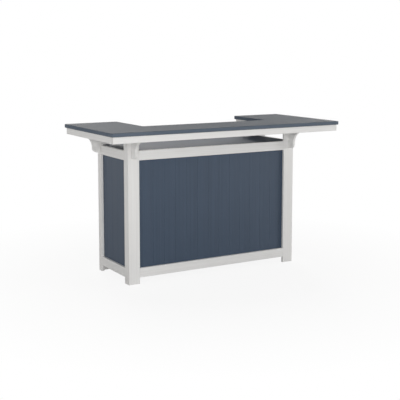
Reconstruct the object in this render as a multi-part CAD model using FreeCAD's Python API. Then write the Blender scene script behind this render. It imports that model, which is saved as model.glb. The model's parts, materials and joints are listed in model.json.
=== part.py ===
import FreeCAD, Part
import math
import os

# Outdoor bar table in plastic sheet stock: a U-shaped top over a framed and boarded cabinet.
# Sizes are in millimetres. +X runs to the right along the front, +Y to the servers' side, +Z up.
# The origin is on the floor under the middle of the top.

V = FreeCAD.Vector

# Top sheet
top_width = 1829.0
top_depth = 800.0
bar_height = 1073.0
top_thickness = 25.0
top_corner_round = 12.0
notch_corner_round = 10.0
top_edge_round = 3.0

# How far the top reaches past the base, and past the frame towards the notch
front_overhang = 249.0
side_overhang = 230.5
rear_overhang = 55.0
arm_inner_overhang = 91.5
strip_inner_overhang = 100.0

# Frame boards
board_thickness = 19.0
edge_round = 2.0
front_stile_width = 84.0
front_return_width = 47.0
rear_stile_width = 65.0
rear_return_width = 50.0
rail_height = 65.5
kick_height = 44.0
header_height = 45.0
apron_height = 45.0
apron_inset = 13.0

# Height of the open gap between the work counter and the apron
serving_gap = 83.5

# Corbels, set back from the outer edge of their posts
corbel_thickness = 19.0
corbel_setback = 25.0
corbel_height = 180.0
corbel_foot_depth = 57.0
corbel_foot_height = 36.0
corbel_foot_round = 34.0
corbel_lip_height = 53.0
corbel_apron_gap = 53.5
corbel_edge_bevel = 1.2

# Panel boards with tongue and groove
panel_board_width = 88.5
panel_thickness = 16.0
panel_lift = 6.0
panel_joint_gap = 0.2
panel_bevel = 0.8
tongue_length = 6.0
tongue_thickness = 5.0
groove_clearance = 0.3

# Counter, shelf, deck and dividers
counter_thickness = 19.0
shelf_thickness = 19.0
shelf_height = 490.0
divider_thickness = 19.0
sheet_clearance = 0.5

# Cleats
cleat_thickness = 19.0
cleat_height = 38.0
top_cleat_width = 38.0
top_cleat_thickness = 19.0

# Levels
top_underside = bar_height - top_thickness
apron_bottom = top_underside - apron_height
header_bottom = top_underside - header_height
counter_height = apron_bottom - serving_gap
counter_underside = counter_height - counter_thickness
top_rail_bottom = counter_height - rail_height
deck_height = kick_height + rail_height
deck_underside = deck_height - shelf_thickness
shelf_underside = shelf_height - shelf_thickness
panel_bottom = kick_height + panel_lift

# Plan lines of the top
top_side = top_width / 2
top_front = -top_depth / 2
top_rear = top_depth / 2

# Plan lines of the base, from its outer faces inwards
base_side = top_side - side_overhang
base_front = top_front + front_overhang
base_rear = top_rear - rear_overhang
frame_side = base_side - board_thickness
frame_front = base_front + board_thickness
frame_rear = base_rear - board_thickness
room_side = frame_side - panel_thickness
room_front = frame_front + panel_thickness
front_stile_side = base_side - front_stile_width
rear_stile_side = frame_side - rear_stile_width
front_return_rear = frame_front + front_return_width
rear_return_front = base_rear - rear_return_width

# Plan lines of the notch between the arms
notch_side = rear_stile_side - arm_inner_overhang
notch_front = frame_front + strip_inner_overhang

# Apron faces, outer then inner
apron_side = top_side - apron_inset
apron_side_back = apron_side - board_thickness
apron_front = top_front + apron_inset
apron_front_back = apron_front + board_thickness
apron_rear = top_rear - apron_inset
apron_rear_back = apron_rear - board_thickness
apron_notch_side = notch_side + apron_inset
apron_notch_side_back = apron_notch_side + board_thickness
apron_notch_front = notch_front - apron_inset
apron_notch_front_back = apron_notch_front - board_thickness

# The corbels stop short of the nearer apron
corbel_reach = min(front_overhang, side_overhang) - apron_inset - board_thickness - corbel_apron_gap
corbel_bottom = top_underside - corbel_height
corbel_cove_bottom = corbel_bottom + corbel_foot_height
corbel_cove_top = top_underside - corbel_lip_height
corbel_front_x = base_side - corbel_setback - corbel_thickness / 2
corbel_rear_y = base_rear - corbel_setback - corbel_thickness / 2

# Share of a radius that reaches a quarter round's middle
DIAGONAL = math.sqrt(0.5)
# The largest share of a board's smaller side that an eased edge takes
EDGE_SHARE = 0.3
# Points closer than this are the same point
SAME_PLACE = 0.001
SIDES = {"left": -1, "right": 1}

parts = {}


def span(a, b):
    """The two values in rising order."""
    return (min(a, b), max(a, b))


def plane(along):
    """A function that places a profile point u, v in the plane across an axis, at w along it."""
    axes = {
        "x": lambda u, v, w: V(w, u, v),
        "y": lambda u, v, w: V(u, w, v),
        "z": lambda u, v, w: V(u, v, w),
    }
    return axes[along]


def rounded_wire(corners):
    """A closed wire through corners, each a point and the radius that rounds it."""
    arcs = []
    ends = []
    for i, (point, radius) in enumerate(corners):
        before = (corners[i - 1][0] - point).normalize()
        after = (corners[(i + 1) % len(corners)][0] - point).normalize()
        half = before.getAngle(after) / 2
        setback = radius / math.tan(half)
        start = point + before * setback
        end = point + after * setback
        bisector = (before + after).normalize()
        middle = point + bisector * (radius / math.sin(half) - radius)
        arcs.append(Part.Arc(start, middle, end).toShape())
        ends.append((start, end))
    edges = []
    for i, arc in enumerate(arcs):
        edges.append(arc)
        edges.append(Part.makeLine(ends[i][1], ends[(i + 1) % len(ends)][0]))
    return Part.Wire(edges)


def prism(wire, travel):
    """The solid swept by a flat closed wire along a vector."""
    return Part.Face(wire).extrude(travel)


def board(along, x, y, z):
    """A board between two values on each axis, with its four long edges eased and its ends sawn square."""
    ranges = {"x": (y, z, x), "y": (x, z, y), "z": (x, y, z)}
    u, v, w = ranges[along]
    at = plane(along)
    radius = min(edge_round, EDGE_SHARE * min(u[1] - u[0], v[1] - v[0]))
    corners = [(at(u[i], v[j], w[0]), radius) for i, j in ((0, 0), (1, 0), (1, 1), (0, 1))]
    return prism(rounded_wire(corners), at(0, 0, w[1] - w[0]))


def block(x, y, z):
    """A square-edged piece between two values on each axis."""
    corner = V(x[0], y[0], z[0])
    return Part.makeBox(x[1] - x[0], y[1] - y[0], z[1] - z[0], corner)


def at_height(shape, height):
    """The edges of a shape that lie flat at one height."""
    return [e for e in shape.Edges if all(abs(p.Point.z - height) < SAME_PLACE for p in e.Vertexes)]


def make_top():
    """The U-shaped top sheet, with its long edges eased above and below."""
    outer = top_corner_round
    outline = [
        (-top_side, top_front, outer), (top_side, top_front, outer),
        (top_side, top_rear, outer), (notch_side, top_rear, outer),
        (notch_side, notch_front, notch_corner_round), (-notch_side, notch_front, notch_corner_round),
        (-notch_side, top_rear, outer), (-top_side, top_rear, outer),
    ]
    corners = [(V(x, y, top_underside), radius) for x, y, radius in outline]
    sheet = prism(rounded_wire(corners), V(0, 0, top_thickness))
    radius = min(top_edge_round, EDGE_SHARE * top_thickness)
    rims = at_height(sheet, bar_height) + at_height(sheet, top_underside)
    parts["bar_top"] = sheet.makeFillet(radius, rims)


def make_aprons():
    """Boards on edge under the rim of the top, butted at the corners."""
    z = (apron_bottom, top_underside)
    parts["apron_front"] = board("x", (-apron_side, apron_side), (apron_front, apron_front_back), z)
    notch_x = (-apron_notch_side_back, apron_notch_side_back)
    parts["apron_notch_front"] = board("x", notch_x, (apron_notch_front_back, apron_notch_front), z)
    for name, side in SIDES.items():
        outer_x = span(side * apron_side, side * apron_side_back)
        inner_x = span(side * apron_notch_side, side * apron_notch_side_back)
        rear_x = span(side * apron_side_back, side * apron_notch_side_back)
        parts["apron_" + name] = board("y", outer_x, (apron_front_back, apron_rear), z)
        parts["apron_notch_" + name] = board("y", inner_x, (apron_notch_front, apron_rear), z)
        parts["apron_rear_" + name] = board("x", rear_x, (apron_rear_back, apron_rear), z)


def make_headers():
    """Boards between the post tops, and the cleats that hold the top."""
    z = (header_bottom, top_underside)
    cleat_z = (top_underside - top_cleat_thickness, top_underside)
    x = (-front_stile_side, front_stile_side)
    y = (front_return_rear, rear_return_front)
    parts["header_front"] = board("x", x, (base_front, frame_front), z)
    parts["top_cleat_front"] = block(x, (frame_front, frame_front + top_cleat_width), cleat_z)
    for name, side in SIDES.items():
        parts["header_" + name] = board("y", span(side * base_side, side * frame_side), y, z)
        cleat_x = span(side * frame_side, side * (frame_side - top_cleat_width))
        parts["top_cleat_" + name] = block(cleat_x, y, cleat_z)


def make_posts():
    """L-shaped corner posts, two boards each, from the floor to the top."""
    z = (0, top_underside)
    for name, side in SIDES.items():
        thick_x = span(side * base_side, side * frame_side)
        stile_x = span(side * base_side, side * front_stile_side)
        parts["front_stile_" + name] = board("z", stile_x, (base_front, frame_front), z)
        parts["front_return_" + name] = board("z", thick_x, (frame_front, front_return_rear), z)
        parts["rear_return_" + name] = board("z", thick_x, (rear_return_front, base_rear), z)
        rear_x = span(side * frame_side, side * rear_stile_side)
        parts["rear_stile_" + name] = board("z", rear_x, (frame_rear, base_rear), z)


def shows(edge, at, travel):
    """Whether an edge of a corbel's side is clear of the post and of the top."""
    points = [vertex.Point for vertex in edge.Vertexes]
    across = [p.dot(travel) for p in points]
    reach = [(p - at(0, 0)).dot(at(1, 0) - at(0, 0)) for p in points]
    on_side = max(across) - min(across) < SAME_PLACE
    on_post = max(reach) < SAME_PLACE
    on_top = min(p.z for p in points) > top_underside - SAME_PLACE
    return on_side and not on_post and not on_top


def corbel(at, travel):
    """A corbel whose profile is set by its reach from the post and its height."""
    foot = min(corbel_foot_round, corbel_foot_height, corbel_foot_depth)
    bottom = corbel_bottom
    slant = foot * DIAGONAL
    round_start = at(corbel_foot_depth - foot, bottom)
    round_middle = at(corbel_foot_depth - foot + slant, bottom + foot - slant)
    round_end = at(corbel_foot_depth, bottom + foot)
    cove_start = at(corbel_foot_depth, corbel_cove_bottom)
    cove_middle = at(
        corbel_reach - DIAGONAL * (corbel_reach - corbel_foot_depth),
        corbel_cove_bottom + DIAGONAL * (corbel_cove_top - corbel_cove_bottom))
    cove_end = at(corbel_reach, corbel_cove_top)
    wire = Part.Wire([
        Part.makeLine(at(0, bottom), round_start),
        Part.Arc(round_start, round_middle, round_end).toShape(),
        Part.makeLine(round_end, cove_start),
        Part.Arc(cove_start, cove_middle, cove_end).toShape(),
        Part.makeLine(cove_end, at(corbel_reach, top_underside)),
        Part.makeLine(at(corbel_reach, top_underside), at(0, top_underside)),
        Part.makeLine(at(0, top_underside), at(0, bottom)),
    ])
    solid = prism(wire, travel)
    edges = [e for e in solid.Edges if shows(e, at, travel)]
    return solid.makeChamfer(min(corbel_edge_bevel, EDGE_SHARE * corbel_thickness), edges)


def make_corbels():
    """Corbels on the fronts of the front posts and on the sides of the rear posts."""
    half = corbel_thickness / 2
    for name, side in SIDES.items():
        x = side * corbel_front_x - half
        y = corbel_rear_y - half
        parts["corbel_front_" + name] = corbel(
            lambda p, z: V(x, base_front - p, z), V(corbel_thickness, 0, 0))
        parts["corbel_rear_" + name] = corbel(
            lambda p, z: V(side * (base_side + p), y, z), V(0, corbel_thickness, 0))


def make_rails():
    """Rails flush with the posts, above and below each panel and across the open back."""
    levels = {"top": (top_rail_bottom, counter_height), "bottom": (kick_height, deck_height)}
    for level, z in levels.items():
        front_x = (-front_stile_side, front_stile_side)
        rear_x = (-rear_stile_side, rear_stile_side)
        parts["rail_front_" + level] = board("x", front_x, (base_front, frame_front), z)
        parts["rail_rear_" + level] = board("x", rear_x, (frame_rear, base_rear), z)
        for name, side in SIDES.items():
            x = span(side * base_side, side * frame_side)
            y = (front_return_rear, rear_return_front)
            parts["rail_" + name + "_" + level] = board("y", x, y, z)


def panel_profile(low, high, first, last):
    """Points of one panel board's section: u across the panel, v from its face inwards."""
    tongue_front = (panel_thickness - tongue_thickness) / 2
    tongue_back = (panel_thickness + tongue_thickness) / 2
    groove_depth = tongue_length + groove_clearance
    points = [(low + panel_bevel, 0), (high - panel_bevel, 0), (high, panel_bevel)]
    if not last:
        points += [(high, tongue_front), (high + tongue_length, tongue_front)]
        points += [(high + tongue_length, tongue_back), (high, tongue_back)]
    points += [(high, panel_thickness), (low, panel_thickness)]
    if not first:
        back = tongue_back + groove_clearance
        front = tongue_front - groove_clearance
        points += [(low, back), (low + groove_depth, back)]
        points += [(low + groove_depth, front), (low, front)]
    return points + [(low, panel_bevel)]


def panel(low, high, at):
    """A row of tongue-and-groove boards from low to high, standing behind the rails."""
    low += sheet_clearance
    high -= sheet_clearance
    count = max(1, round((high - low) / panel_board_width))
    pitch = (high - low) / count
    boards = []
    for i in range(count):
        left = low + i * pitch + panel_joint_gap / 2
        right = low + (i + 1) * pitch - panel_joint_gap / 2
        points = panel_profile(left, right, i == 0, i == count - 1)
        wire = Part.makePolygon([at(u, v) for u, v in points + points[:1]])
        boards.append(prism(wire, V(0, 0, counter_underside - panel_bottom)))
    return Part.makeCompound(boards)


def make_panels():
    """Boarded panels inside the front and side frames, under the counter."""
    front = panel(-frame_side, frame_side, lambda u, v: V(u, frame_front + v, panel_bottom))
    parts["panel_front"] = front
    for name, side in SIDES.items():
        parts["panel_" + name] = panel(
            room_front, frame_rear, lambda u, v: V(side * (frame_side - v), u, panel_bottom))


def make_sheets():
    """The work counter, the shelf and the deck."""
    gap = sheet_clearance
    counter_x = (gap - frame_side, frame_side - gap)
    counter_y = (frame_front + gap, frame_rear - gap)
    parts["counter"] = board("x", counter_x, counter_y, (counter_underside, counter_height))
    x = (gap - room_side, room_side - gap)
    y = (room_front + gap, frame_rear - gap)
    parts["shelf"] = board("x", x, y, (shelf_underside, shelf_height))
    parts["deck"] = board("x", x, y, (deck_underside, deck_height))


def make_dividers():
    """Upright dividers under the shelf and under the counter, notched round the cleats."""
    gap = sheet_clearance
    x = (-divider_thickness / 2, divider_thickness / 2)
    y = (room_front + gap, frame_rear - gap)
    front_y = (room_front, room_front + cleat_thickness + gap)
    rear_y = (frame_rear - cleat_thickness - gap, frame_rear)
    lower = block(x, y, (deck_height, shelf_underside))
    lower_z = (shelf_underside - cleat_height - gap, shelf_underside)
    parts["divider_lower"] = lower.cut(block(x, front_y, lower_z))
    upper = block(x, y, (shelf_height, counter_underside))
    upper_z = (counter_underside - cleat_height - gap, counter_underside)
    parts["divider_upper"] = upper.cut(block(x, front_y, upper_z)).cut(block(x, rear_y, upper_z))


def make_cleats():
    """Strips on the inside that carry the counter, the shelf and the deck."""
    levels = {"counter": counter_underside, "shelf": shelf_underside, "deck": deck_underside}
    front_y = (room_front, room_front + cleat_thickness)
    rear_y = (frame_rear - cleat_thickness, frame_rear)
    for level, top in levels.items():
        # No cleat reaches below the bottom rails
        z = (max(top - cleat_height, kick_height), top)
        parts[level + "_cleat_front"] = block((-room_side, room_side), front_y, z)
        for name, side in SIDES.items():
            x = span(side * room_side, side * (room_side - cleat_thickness))
            parts[level + "_cleat_" + name] = block(x, (front_y[1], frame_rear), z)
        if level != "shelf":
            parts[level + "_cleat_rear"] = block((-rear_stile_side, rear_stile_side), rear_y, z)


make_top()
make_aprons()
make_headers()
make_posts()
make_corbels()
make_rails()
make_panels()
make_sheets()
make_dividers()
make_cleats()

os.makedirs("parts", exist_ok=True)
for node, shape in parts.items():
    shape.exportStep("parts/" + node + ".step")
print(len(parts), "nodes,", sum(len(shape.Solids) for shape in parts.values()), "solids")
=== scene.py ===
# %% [markdown]
# # An outdoor bar table in plastic lumber
# The CAD model holds every board, sheet and corbel of the bar, each in its place. It is loaded first
# and never moved. The lesson then adds what CAD leaves out: the camera, the finish of each surface, the
# small screws that hold the boards together, and the studio.

# %% Load the CAD model
import json
import math

import bpy
import numpy as np
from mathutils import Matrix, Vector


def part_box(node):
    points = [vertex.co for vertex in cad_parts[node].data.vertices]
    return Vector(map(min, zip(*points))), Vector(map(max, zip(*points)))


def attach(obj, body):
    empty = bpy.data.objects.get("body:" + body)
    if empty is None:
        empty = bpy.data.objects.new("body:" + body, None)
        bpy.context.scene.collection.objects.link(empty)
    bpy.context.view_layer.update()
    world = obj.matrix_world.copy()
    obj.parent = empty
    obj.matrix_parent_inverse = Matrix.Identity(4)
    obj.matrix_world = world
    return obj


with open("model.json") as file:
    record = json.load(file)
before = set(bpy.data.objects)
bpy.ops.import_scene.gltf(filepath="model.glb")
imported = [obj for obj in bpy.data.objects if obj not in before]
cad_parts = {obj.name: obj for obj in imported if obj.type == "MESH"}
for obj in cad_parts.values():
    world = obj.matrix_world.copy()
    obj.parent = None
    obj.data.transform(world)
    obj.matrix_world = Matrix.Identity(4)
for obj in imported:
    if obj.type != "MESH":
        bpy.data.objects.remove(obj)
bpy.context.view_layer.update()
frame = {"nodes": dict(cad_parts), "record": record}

# %% [markdown]
# ## The camera
# The bar was photographed from its left front corner with a long lens, from about eye height. The
# place, the lens and the turn were solved from the uprights and from the lines of the top and the
# rails. The uprights stand almost parallel in the picture. A small lens shift gives part of that and
# still leaves the whole bar in the frame when the camera moves round to other sides.

# %% Set up the camera
SENSOR_WIDTH = 36.0
PICTURE_WIDTH = 400
FOCAL_PIXELS = 883.5
CAMERA_PLACE = (-3.2428, -5.4573, 1.6290)
CAMERA_YAW = 0.5314
CAMERA_PITCH = 0.1207
CAMERA_SHIFT = -0.12

camera_data = bpy.data.cameras.new("camera")
camera_data.sensor_width = SENSOR_WIDTH
camera_data.lens = FOCAL_PIXELS / PICTURE_WIDTH * SENSOR_WIDTH
camera_data.shift_y = CAMERA_SHIFT
camera = bpy.data.objects.new("camera", camera_data)
camera.location = CAMERA_PLACE
camera.rotation_euler = (math.pi / 2 - CAMERA_PITCH, 0, -CAMERA_YAW)
bpy.context.scene.collection.objects.link(camera)
bpy.context.scene.camera = camera
print("camera with a", round(camera_data.lens, 1), "mm lens")

# %% [markdown]
# ## Shader maths
# A finish is a small sum: streaks along the grain, broad clouds, fine grit. Node trees for such sums
# are hard to read, so one class wraps a node's socket and lets Python's own operators add the Math
# nodes.

# %% A socket with arithmetic
class Wire:
    """An output socket of a node tree. Arithmetic on wires adds Math nodes to the tree."""

    def __init__(self, socket):
        self.socket = socket

    def node(self, kind, settings=(), inputs=(), output=0):
        """Add a node: first its settings, then the values or wires of its sockets. Gives one output."""
        tree = self.socket.id_data
        made = tree.nodes.new("ShaderNode" + kind)
        for name, value in dict(settings).items():
            setattr(made, name, value)
        for key, value in dict(inputs).items():
            if isinstance(value, Wire):
                tree.links.new(value.socket, made.inputs[key])
            else:
                made.inputs[key].default_value = value
        return Wire(made.outputs[output])

    def math(self, operation, *values):
        """A Math node on these values."""
        return self.node("Math", {"operation": operation}, enumerate(values))

    def __add__(self, other):
        return self.math("ADD", self, other)

    __radd__ = __add__

    def __sub__(self, other):
        return self.math("SUBTRACT", self, other)

    def __rsub__(self, other):
        return self.math("SUBTRACT", other, self)

    def __mul__(self, other):
        return self.math("MULTIPLY", self, other)

    __rmul__ = __mul__

    def above(self, low, high):
        """0 below low, 1 above high, and a straight ramp between them."""
        return self.node("MapRange", {"clamp": True}, {0: self, 1: low, 2: high, 3: 0.0, 4: 1.0})

    def times(self, vector):
        """Each part of this vector times the part of another."""
        return self.node("VectorMath", {"operation": "MULTIPLY"}, {0: self, 1: vector})

    def dot(self, vector):
        """How far this vector goes along another."""
        return self.node("VectorMath", {"operation": "DOT_PRODUCT"}, {0: self, 1: vector}, "Value")

    def length(self):
        """How long this vector is."""
        return self.node("VectorMath", {"operation": "LENGTH"}, {0: self}, "Value")

    def noise(self, scale, detail):
        """Soft noise around one half, with this wire as its place."""
        return self.node("TexNoise", {}, {"Vector": self, "Scale": scale, "Detail": detail})

    def mix(self, low, high):
        """A colour between two, with this wire as the share of the second."""
        return self.node("Mix", {"data_type": "RGBA"}, {0: self, 6: low, 7: high}, 2)

    def bump(self, depth, strength):
        """A normal that is bent by this wire as a height."""
        return self.node("Bump", {}, {"Height": self, "Distance": depth, "Strength": strength})


def new_material(name):
    """A material, its shader node, and wires for the object's own place and face direction."""
    material = bpy.data.materials.new(name)
    material.use_nodes = True
    shader = material.node_tree.nodes["Principled BSDF"]
    coordinates = material.node_tree.nodes.new("ShaderNodeTexCoord")
    return material, shader, Wire(coordinates.outputs["Object"]), Wire(coordinates.outputs["Normal"])


def feed(shader, **wires):
    """Link wires to a shader's sockets, named with _ for a space."""
    for name, wire in wires.items():
        shader.id_data.links.new(wire.socket, shader.inputs[name.replace("_", " ")])


print("shader helpers ready")

# %% [markdown]
# ## White plastic lumber
# The frame is cut from white plastic boards. They are drawn through a die, so faint streaks run along
# each board, and the skin has a fine grit that keeps the sheen soft. The sawn ends are duller. The
# streaks could be painted on a picture, but noise that is stretched along the board never repeats and
# needs no unwrapping. One function makes the finish for each of the three ways that a board can run.

# %% Streaks, bands, clouds and grit
AXES = ((1.0, 0.0, 0.0), (0.0, 1.0, 0.0), (0.0, 0.0, 1.0))
# Waves per metre, along a board and across it for streaks and bands
STREAK_WAVES = (1.3, 150.0)
BAND_WAVES = (0.7, 24.0)
CLOUD_WAVES = 4.0
TONE_RANGE = (0.30, 0.70)
GRIT_SHARE = 0.25


def stretched(axis, along, across):
    """Noise scales, in waves per metre, for a pattern that runs along one axis."""
    return tuple(along if i == axis else across for i in range(3))


def grain(place, axis, shares):
    """Fine streaks and broad bands of a board that was drawn along one axis, and a tone from 0 to 1,
    which is the streaks, the bands and soft clouds added up in these shares."""
    streak = place.times(stretched(axis, *STREAK_WAVES)).noise(1.0, detail=3.0)
    band = place.times(stretched(axis, *BAND_WAVES)).noise(1.0, detail=2.0)
    cloud = place.noise(CLOUD_WAVES, detail=3.0)
    tone = streak * shares[0] + band * shares[1] + cloud * shares[2]
    return streak, band, tone.above(*TONE_RANGE)


def skin(place, streak, streak_share, grit_waves, depth, strength):
    """A normal that is bent by the streaks and by fine grit, added up in shares."""
    grit = place.noise(grit_waves, detail=1.0)
    return (streak * streak_share + grit * GRIT_SHARE).bump(depth, strength)


def looks_along(facing, axis, low, high):
    """1 on faces that look along an axis, either way, and 0 on faces that look across it. How far the
    face direction goes along the axis tells them apart, and the ramp between them runs from low to high."""
    part = facing.dot(AXES[axis])
    return part.math("ABSOLUTE", part).above(low, high)


print("streaks", STREAK_WAVES, "and bands", BAND_WAVES, "in waves per metre along and across a board")

# %% Make the white boards' finish
WHITE_LOW = (0.745, 0.735, 0.72, 1)
WHITE_HIGH = (0.83, 0.825, 0.815, 1)
WHITE_SHARES = (0.60, 0.20, 0.20)
WHITE_ROUGHNESS = 0.40
WHITE_BAND_DULLING = 0.12
SAWN_END = (0.70, 0.69, 0.67, 1)
SAWN_SHARE = 0.6
SAWN_DULLING = 0.18


def white_board(axis):
    """White plastic lumber whose streaks run along one axis, with duller sawn ends."""
    material, shader, place, facing = new_material("white_board_" + "xyz"[axis])
    streak, band, tone = grain(place, axis, WHITE_SHARES)
    end = looks_along(facing, axis, low=0.90, high=0.97)
    feed(
        shader,
        Base_Color=(end * SAWN_SHARE).mix(tone.mix(WHITE_LOW, WHITE_HIGH), SAWN_END),
        Roughness=WHITE_ROUGHNESS + band * WHITE_BAND_DULLING + end * SAWN_DULLING,
        Normal=skin(place, streak, streak_share=0.6, grit_waves=700.0, depth=0.0006, strength=0.35),
    )
    return material


WHITE = [white_board(axis) for axis in range(3)]
print([material.name for material in WHITE])

# %% [markdown]
# ## Navy boards and sheets
# The panels, the top, the counter and the shelves are a slate navy plastic. It is the same stuff as the
# boards, so it has the same streaks, but its skin is smoother, and seen along the surface it mirrors
# the bright studio. That is part of why the top looks grey in the photograph and the upright panels look
# blue; the rest of the top's grey is a painted sheen in its colour.
# The upright boards are deep in colour and glossy, and much of what is seen on them is mirrored light.
# The flat sheets have a greyer face, which is a painted sheen, and the edges that were routed round
# them are paler than the face, which is a painted reflection. The counter's face is the darkest, which
# is painted shade for the shade under the top. The streaks run up the panels, from front to back on the
# dividers and along the bar on the sheets.

# %% Make the navy finish
NAVY_LOW = np.array((0.046, 0.069, 0.104, 1))
NAVY_HIGH = np.array((0.065, 0.093, 0.137, 1))
NAVY_SHARES = (0.45, 0.30, 0.25)
NAVY_BAND_DULLING = 0.10
# This share paints the routed edges of the flat sheets paler: a painted reflection of the bright studio.
PAINTED_REFLECTION_EDGE_SHARE = (2.06, 1.74, 1.47, 1)
# These face shares hold painted light: the greyer faces of the top and the sheets are painted sheen, and
# the counter's darker face is painted shade.
FACE_SHARE_WITH_PAINTED_LIGHT = {
    "board": (0.55, 0.65, 0.74, 1),
    "sheet": (0.88, 0.82, 0.76, 1),
    "counter": (0.54, 0.54, 0.54, 1),
    "top": (0.97, 0.84, 0.70, 1),
}
ROUGHNESS = {"board": 0.46, "sheet": 0.42, "counter": 0.52, "top": 0.55}
GLOSS = {"board": 0.55, "sheet": 0.12, "counter": 0.115, "top": 0.055}
NAVY_RUNS = (("board", 1), ("board", 2), ("sheet", 0), ("counter", 0), ("top", 0))


def navy(kind, axis):
    """Slate navy plastic whose streaks run along one axis, for upright boards or for a kind of flat
    sheet. A share times the two navy tones gives the colours of a face or of the routed sides. On the
    flat kinds these shares hold painted light: a greyer face is painted sheen, the counter's darker face
    is painted shade, and the paler routed sides are a painted reflection."""
    material, shader, place, facing = new_material("navy_" + kind + "_" + "xyz"[axis])
    streak, band, tone = grain(place, axis, NAVY_SHARES)
    shader.inputs["Specular IOR Level"].default_value = GLOSS[kind]
    colour = tone.mix(NAVY_LOW * FACE_SHARE_WITH_PAINTED_LIGHT[kind], NAVY_HIGH * FACE_SHARE_WITH_PAINTED_LIGHT[kind])
    if kind != "board":
        # The routed edges get a paler colour here, a painted reflection.
        painted_reflection_edge = tone.mix(NAVY_LOW * PAINTED_REFLECTION_EDGE_SHARE, NAVY_HIGH * PAINTED_REFLECTION_EDGE_SHARE)
        colour = looks_along(facing, 2, low=0.3, high=0.8).mix(painted_reflection_edge, colour)
    feed(
        shader,
        Base_Color=colour,
        Roughness=ROUGHNESS[kind] + band * NAVY_BAND_DULLING,
        Normal=skin(place, streak, streak_share=0.5, grit_waves=900.0, depth=0.0005, strength=0.30),
    )
    return material


NAVY = {run: navy(*run) for run in NAVY_RUNS}
print([material.name for material in NAVY.values()])

# %% [markdown]
# ## Dress the CAD nodes
# Each node keeps its mesh and takes a finish through its material slots. A board's streaks run along
# its longest side, which its box tells. Only a panel is different: its boards stand upright, whatever
# its width.

# %% Give each node its finish
FLAT = {"bar_top": "top", "counter": "counter"}
slots = {row["node"]: row["material_slot"] for row in frame["record"]["subparts"]}
for name, node in frame["nodes"].items():
    low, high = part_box(name)
    size = high - low
    axis = 2 if name.startswith("panel") else max(range(3), key=lambda i: size[i])
    kind = FLAT.get(name, "sheet") if size[2] == min(size) else "board"
    finish = WHITE[axis] if slots[name] == "white_board" else NAVY[kind, axis]
    for slot in node.material_slots:
        slot.material = finish
print(len(slots), "nodes dressed")

# %% [markdown]
# ## Screws
# The boards are screwed together from the inside, where the photograph does not look. One pan head is a
# surface of rings: the floor of the cross recess, its rim, the shoulder and the foot. The recess is a
# ring whose radius swells four times on its way round, which needs far fewer faces than a cut would.
# The heads are then set out with one array sum: a screw through each cleat into each panel board, a row
# through each rear cleat, two in each corbel, and a row up into the top.

# %% One pan head
HEAD_SIDES = 16
STAR_POWER = 6
HEAD_RINGS = np.array((
    (0.0004, 0.0013, 0.00117),
    (0.0009, 0.0019, 0.00260),
    (0.0043, 0.0000, 0.00208),
    (0.0055, 0.0000, 0.00000),
))


def pan_head():
    """Points and faces of a screw head that looks along +Z from its seat at the origin.
    A row of HEAD_RINGS is a ring's a, b and height, and its radius is a + b (cos 2t)^6. That is a star
    with four points for the floor and the rim of the recess, and a circle for the shoulder and the foot.
    Bands of four-sided faces join the rings, and one flat face closes the floor of the recess and another
    the seat."""
    angle = np.arange(HEAD_SIDES) * 2 * math.pi / HEAD_SIDES
    plain, swell, height = HEAD_RINGS.T[:, :, None]
    radius = plain + swell * np.cos(2 * angle) ** STAR_POWER
    points = np.stack((radius * np.cos(angle), radius * np.sin(angle), height + 0 * radius), 2)
    ring = np.arange(HEAD_SIDES)
    after = (ring + 1) % HEAD_SIDES
    band = np.stack((ring, ring + HEAD_SIDES, after + HEAD_SIDES, after), 1)
    starts = np.arange(len(HEAD_RINGS)) * HEAD_SIDES
    bands = (starts[:-1, None, None] + band).reshape(-1, 4)
    return points.reshape(-1, 3), bands, np.stack((ring, starts[-1] + ring[::-1]))


head_points, head_bands, head_ends = pan_head()
print(len(head_points), "points and", len(head_bands) + len(head_ends), "faces in a screw head")

# %% Which way the screws look
# A row gives the head's own three axes on the bar. The head looks along the last one.
SCREW_AXES = {
    "left_screws": ((0, 1, 0), (0, 0, 1), (1, 0, 0)),
    "right_screws": ((0, -1, 0), (0, 0, 1), (-1, 0, 0)),
    "front_screws": ((-1, 0, 0), (0, 0, 1), (0, 1, 0)),
    "rear_screws": ((1, 0, 0), (0, 0, 1), (0, -1, 0)),
    "top_screws": ((1, 0, 0), (0, -1, 0), (0, 0, -1)),
}
places = {group: [] for group in SCREW_AXES}


def centres(node, axis, count):
    """Middles of equal shares of a node's box along one axis."""
    low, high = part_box(node)
    return low[axis] + (high[axis] - low[axis]) * (np.arange(count) + 0.5) / count


def put(group, x, y, z):
    """Note screws at every combination of these coordinates."""
    grid = np.meshgrid(x, y, z, indexing="ij")
    places[group].append(np.stack([part.ravel() for part in grid], 1))


print("groups of screws:", list(places))

# %% Screws in the cleats
BOARDS = {"front": 15, "left": 5, "right": 5}
REAR_SCREWS = 7
# Screws in each cleat under the top, counted along X and along Y
TOP_SCREWS = {"front": (7, 1), "left": (1, 3), "right": (1, 3)}

for level in ("counter", "shelf", "deck"):
    for side, count in BOARDS.items():
        cleat_low, cleat_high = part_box(level + "_cleat_" + side)
        height = (cleat_low[2] + cleat_high[2]) / 2
        if side == "front":
            put("front_screws", centres("panel_front", 0, count), cleat_high[1], height)
        else:
            inside = cleat_high[0] if side == "left" else cleat_low[0]
            put(side + "_screws", inside, centres("panel_" + side, 1, count), height)
for level in ("counter", "deck"):
    cleat_low, cleat_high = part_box(level + "_cleat_rear")
    height = (cleat_low[2] + cleat_high[2]) / 2
    put("rear_screws", centres(level + "_cleat_rear", 0, REAR_SCREWS), cleat_low[1], height)
for side, (count_x, count_y) in TOP_SCREWS.items():
    cleat = "top_cleat_" + side
    put("top_screws", centres(cleat, 0, count_x), centres(cleat, 1, count_y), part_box(cleat)[0][2])
print({group: sum(len(rows) for rows in lists) for group, lists in places.items()}, "screws in cleats")

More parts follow.
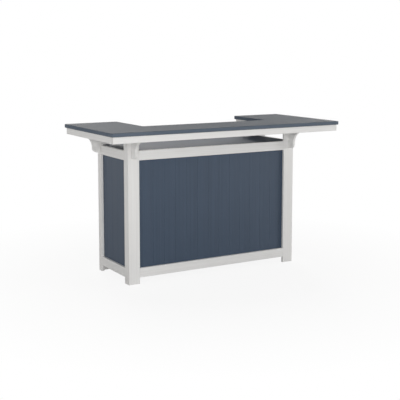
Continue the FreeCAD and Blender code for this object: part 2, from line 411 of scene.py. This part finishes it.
# %% Screws in the corbels
# Heights above the corbel's foot
CORBEL_LEVELS = np.array((0.077, 0.150))

for side in ("left", "right"):
    front_low, front_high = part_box("corbel_front_" + side)
    rear_low, rear_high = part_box("corbel_rear_" + side)
    levels = front_low[2] + CORBEL_LEVELS
    stile_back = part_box("front_stile_" + side)[1][1]
    post_low, post_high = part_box("rear_return_" + side)
    inside = post_high[0] if side == "left" else post_low[0]
    put("front_screws", (front_low[0] + front_high[0]) / 2, stile_back, levels)
    put(side + "_screws", inside, (rear_low[1] + rear_high[1]) / 2, levels)
print({group: sum(len(rows) for rows in lists) for group, lists in places.items()}, "screws in all")

# %% Set out the screws
STEEL_LOW = (0.52, 0.52, 0.50, 1)
STEEL_HIGH = (0.66, 0.66, 0.64, 1)
STEEL_ROUGHNESS = 0.26
MARK_WAVES = 1500.0
MARK_DULLING = 0.16


def steel():
    """Plain stainless steel, with fine turning marks."""
    material, shader, place, _ = new_material("screw_steel")
    shader.inputs["Metallic"].default_value = 1.0
    mark = place.noise(MARK_WAVES, detail=2.0)
    feed(
        shader,
        Base_Color=mark.mix(STEEL_LOW, STEEL_HIGH),
        Roughness=STEEL_ROUGHNESS + mark * MARK_DULLING,
    )
    return material


def set_out(name, rows, material):
    """One mesh of equal heads. A point is its screw's place plus the head's point in the turned axes."""
    seats = np.concatenate(rows)
    points = seats[:, None, :] + (head_points @ np.array(SCREW_AXES[name], float))[None]
    starts = np.arange(len(seats))[:, None, None] * len(head_points)
    bands = (head_bands[None] + starts).reshape(-1, 4)
    ends = (head_ends[None] + starts).reshape(-1, HEAD_SIDES)
    mesh = bpy.data.meshes.new(name)
    mesh.from_pydata(points.reshape(-1, 3).tolist(), [], bands.tolist() + ends.tolist())
    mesh.materials.append(material)
    made = bpy.data.objects.new(name, mesh)
    bpy.context.scene.collection.objects.link(made)
    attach(made, "root")
    return made


screw_steel = steel()
screws = [set_out(group, rows, screw_steel) for group, rows in places.items()]
print([(made.name, len(made.data.polygons)) for made in screws])

# %% [markdown]
# ## The studio
# The photograph shows plain soft light from low down. The main lamp is a round one a little behind the
# camera, and near enough that its light falls off along the bar: the right end is darker than the left.
# The other lamps are suns with a wide angle, which light the whole bar alike. One from the right shades
# the panel beside the right post and the post beside its corbel, and a weaker one comes from the left.
# Two slightly warm ones behind the bar mirror in the top and the counter, and make the ends of the top
# brighter than its middle. The first stands so high that the arms of the top shade the ends of the
# counter from it. One from above lights the open back. The background is white for rays that come from
# the camera or that a glossy surface sends on. For all other rays it is dim, so the lamps give most of
# the light on the boards. The floor is white for the camera too, but close to the bar a little of its
# own shade shows.

# %% Surroundings
PURE_WHITE = (1, 1, 1, 1)
AMBIENT = 0.21


def ray_shares(start):
    """Two shares: 1 for rays from the camera, and 1 for rays that a shiny or clear surface sends on."""
    rays = start.node("LightPath").socket.node.outputs
    sent = Wire(rays["Is Glossy Ray"])
    sent = sent.math("MAXIMUM", sent, Wire(rays["Is Transmission Ray"]))
    return Wire(rays["Is Camera Ray"]), sent


world = bpy.data.worlds.new("studio")
world.use_nodes = True
bpy.context.scene.world = world
surroundings = world.node_tree.nodes["Background"]
surroundings.inputs["Color"].default_value = PURE_WHITE
start = Wire(world.node_tree.nodes.new("ShaderNodeTexCoord").outputs["Object"])
seen, sent = ray_shares(start)
level = seen.math("MAXIMUM", seen, sent) * (1 - AMBIENT) + AMBIENT
world.node_tree.links.new(level.socket, surroundings.inputs["Strength"])
print("surroundings give", AMBIENT, "of white as light")

# %% Floor
FLOOR_REACH = 14.0
FLOOR_COLOUR = (0.75, 0.75, 0.74, 1)
FLOOR_ROUGHNESS = 0.9
SHADE_SHARE = 0.10
# Distances from the middle of the bar over which the shade fades, and a mirrored floor turns white
SHADE_REACH = (0.9, 2.2)
MIRROR_REACH = (2.5, 8.0)

floor_mesh = bpy.data.meshes.new("floor")
corners = np.array([(-1, -1, 0), (1, -1, 0), (1, 1, 0), (-1, 1, 0)]) * FLOOR_REACH
floor_mesh.from_pydata(corners.tolist(), [], [(0, 1, 2, 3)])
floor = bpy.data.objects.new("floor", floor_mesh)
bpy.context.scene.collection.objects.link(floor)
floor_paint, paint, place, _ = new_material("floor_paint")
paint.inputs["Base Color"].default_value = FLOOR_COLOUR
paint.inputs["Roughness"].default_value = FLOOR_ROUGHNESS
glow = place.node("Emission", {}, {"Color": PURE_WHITE, "Strength": 1.0})
distance = place.length()
seen, sent = ray_shares(place)
shade = (1 - distance.above(*SHADE_REACH)) * SHADE_SHARE
share = seen * (1 - shade) + sent * distance.above(*MIRROR_REACH)
blend = place.node("MixShader", {}, {0: share, 1: Wire(paint.outputs[0]), 2: glow})
tree = floor_paint.node_tree
tree.links.new(blend.socket, tree.nodes["Material Output"].inputs["Surface"])
floor_mesh.materials.append(floor_paint)
print("floor", 2 * FLOOR_REACH, "m square")

# %% Kinds of lamp
def lamp(name, kind, direction, strength):
    """A lamp that shines from one direction towards the bar."""
    data = bpy.data.lights.new(name, kind)
    data.energy = strength
    made = bpy.data.objects.new(name, data)
    x, y, z = direction
    made.rotation_euler = (math.atan2(math.hypot(x, y), z), 0, math.atan2(x, -y))
    bpy.context.scene.collection.objects.link(made)
    return made


def far_lamp(name, direction, spread, strength, colour=(1, 1, 1)):
    """A broad lamp far away, so that it lights the whole bar alike. Spread is its width in degrees."""
    made = lamp(name, "SUN", direction, strength)
    made.data.angle = math.radians(spread)
    made.data.color = colour
    return made


def near_lamp(name, corner, direction, distance, width, strength):
    """A round lamp this far from a corner of the bar. Its power is its strength there times pi times the
    distance squared, and its light falls off along the bar. The camera does not see it."""
    made = lamp(name, "AREA", direction, strength * math.pi * distance ** 2)
    made.data.shape = "DISK"
    made.data.size = width
    made.location = np.array(corner) + np.array(direction) * distance
    made.visible_camera = False
    return made


print("lamp helpers ready")

# %% Set up the lamps
# The near lamp's name, corner, direction, distance, width and strength
KEY = ("key_lamp", (-0.68, -0.15, 0.60), (-0.44, -0.89, 0.12), 7.5, 3.8, 1.48)
WARM = (1.0, 0.965, 0.93)
# The far lamps' names, directions, spreads, strengths and colours
LAMPS = (
    ("right_lamp", (0.92, -0.37, 0.09), 30.0, 1.76),
    ("left_lamp", (-0.92, 0.38, 0.07), 24.0, 0.48),
    ("rear_lamp", (0.26, 0.84, 0.47), 16.0, 1.06, WARM),
    ("right_rear_lamp", (0.73, 0.65, 0.21), 20.0, 0.60, WARM),
    ("overhead_lamp", (0.10, 0.50, 0.86), 40.0, 0.22),
)
lamps = [near_lamp(*KEY)] + [far_lamp(*row) for row in LAMPS]
print([made.name for made in lamps])

# %% [markdown]
# ## The view transform

# %% Set the view transform
bpy.context.scene.view_settings.view_transform = "Standard"
